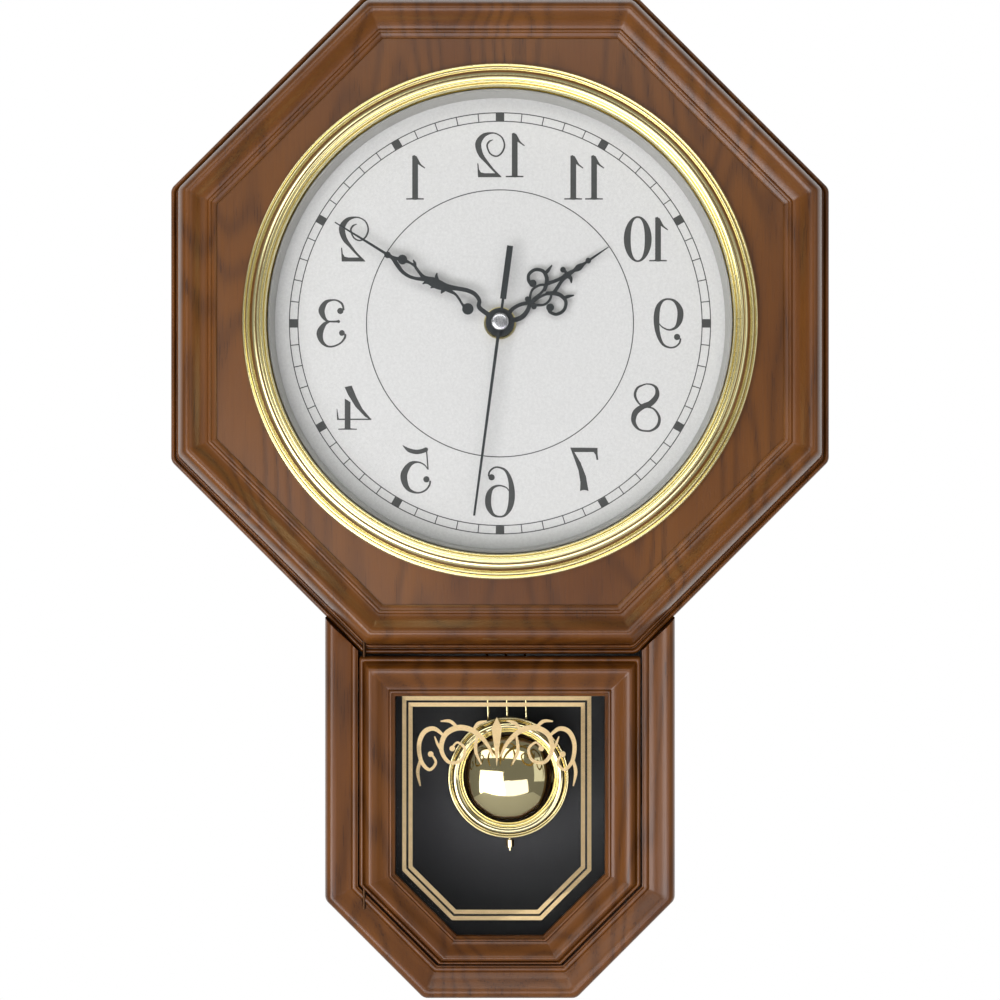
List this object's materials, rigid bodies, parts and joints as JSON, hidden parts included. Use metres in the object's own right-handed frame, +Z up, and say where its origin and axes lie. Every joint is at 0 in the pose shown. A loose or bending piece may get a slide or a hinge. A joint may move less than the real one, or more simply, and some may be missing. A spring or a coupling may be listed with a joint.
{
  "type": "schoolhouse wall clock",
  "caption": "Octagonal wood wall clock with a glazed round dial, serpentine hands, a quartz movement with gear train, and a pendulum behind a small glazed door.",
  "frame": {"origin": "the point on the wall plane where the neck of the wall screw bears in the keyhole of the hanger plate, 100 mm above the dial axis", "axes": "+X right and +Z up as seen from the front, +Y towards the wall; the dial faces -Y"},
  "size_m": [0.305, 0.0806, 0.4635],
  "materials": {
    "wood": "satin brown stain, open grain",
    "face_wood": "satin brown stain, flat face",
    "black_board": "matt black paint",
    "brass": "polished",
    "steel": "bright",
    "bronze": "dark bronze plated",
    "copper": "enamelled copper wire",
    "grey_plastic": "silver grey",
    "black_plastic": "fine texture",
    "white_plastic": "natural",
    "dial": "matt white with black print",
    "hand_black": "satin black",
    "glass": "clear"
  },
  "bodies": {
    "case": {"octagon_moulding_upper_right": "wood", "octagon_moulding_top": "wood", "octagon_moulding_upper_left": "wood", "octagon_moulding_left": "wood", "octagon_moulding_lower_left": "wood", "octagon_moulding_bottom": "wood", "octagon_moulding_lower_right": "wood", "octagon_moulding_right": "wood", "face_panel": "face_wood", "case_board_left": "wood", "case_board_lower_left": "wood", "case_board_bottom": "wood", "case_board_lower_right": "wood", "case_board_right": "wood", "case_board_top": "wood", "backboard": "black_board", "drop_moulding_left": "wood", "drop_moulding_lower_left": "wood", "drop_moulding_bottom": "wood", "drop_moulding_lower_right": "wood", "drop_moulding_right": "wood", "hanger_plate": "steel", "bezel_ring": "brass", "dial_glass": "glass", "reflector_ring": "grey_plastic", "dial_plate": "dial", "movement_housing": "black_plastic", "movement_cover": "black_plastic", "hand_nut": "brass", "battery": "steel", "drive_coil": "copper", "door_magnet": "black_plastic"},
    "minute_train": {"minute_hand": "hand_black", "centre_wheel": "brass"},
    "hour_train": {"hour_hand": "hand_black", "hour_wheel": "white_plastic"},
    "seconds_train": {"second_hand": "hand_black", "second_hand_cap": "steel", "second_wheel": "steel"},
    "third_wheel": {"third_wheel": "white_plastic"},
    "motion_wheel": {"motion_wheel": "white_plastic"},
    "setting_knob": {"setting_knob": "black_plastic"},
    "pendulum": {"pendulum_arm": "black_plastic", "pendulum_yoke": "brass", "pendulum_rod_left": "brass", "pendulum_rod_centre": "brass", "pendulum_rod_right": "brass", "pendulum_bob": "brass", "rating_nut": "brass"},
    "door": {"door_frame_left": "wood", "door_frame_lower_left": "wood", "door_frame_bottom": "wood", "door_frame_lower_right": "wood", "door_frame_right": "wood", "door_frame_top": "wood", "door_glass": "glass", "door_pin_top": "bronze", "door_pin_bottom": "bronze", "door_strike": "steel"}
  },
  "joints": [
    {"name": "seconds_turn", "type": "hinge", "parent": "case", "child": "seconds_train", "pos_m": [0, -0.055, -0.1], "axis": [0, -1, 0], "continuous": true},
    {"name": "minute_turn", "type": "hinge", "parent": "case", "child": "minute_train", "pos_m": [0, -0.055, -0.1], "axis": [0, -1, 0], "continuous": true},
    {"name": "hour_turn", "type": "hinge", "parent": "case", "child": "hour_train", "pos_m": [0, -0.055, -0.1], "axis": [0, -1, 0], "continuous": true},
    {"name": "third_wheel_turn", "type": "hinge", "parent": "case", "child": "third_wheel", "pos_m": [-0.01149, -0.055, -0.10396], "axis": [0, -1, 0], "continuous": true},
    {"name": "motion_wheel_turn", "type": "hinge", "parent": "case", "child": "motion_wheel", "pos_m": [0.00799, -0.055, -0.10602], "axis": [0, -1, 0], "continuous": true},
    {"name": "setting_knob_turn", "type": "hinge", "parent": "case", "child": "setting_knob", "pos_m": [0.01597, -0.055, -0.11204], "axis": [0, -1, 0], "continuous": true},
    {"name": "pendulum_swing", "type": "hinge", "parent": "case", "child": "pendulum", "pos_m": [0, -0.041, -0.12], "axis": [0, -1, 0], "range_deg": [-6.2, 3.8]},
    {"name": "door_hinge", "type": "hinge", "parent": "case", "child": "door", "pos_m": [-0.0626, -0.0589, -0.305], "axis": [0, 0, -1], "range_deg": [0, 90]}
  ],
  "couplings": [
    {"joint": "third_wheel_turn", "follows": "seconds_turn", "ratio": -0.13333},
    {"joint": "minute_turn", "follows": "seconds_turn", "ratio": 0.016667},
    {"joint": "motion_wheel_turn", "follows": "seconds_turn", "ratio": -0.0055556},
    {"joint": "hour_turn", "follows": "seconds_turn", "ratio": 0.0013889},
    {"joint": "setting_knob_turn", "follows": "seconds_turn", "ratio": 0.016667}
  ]
}
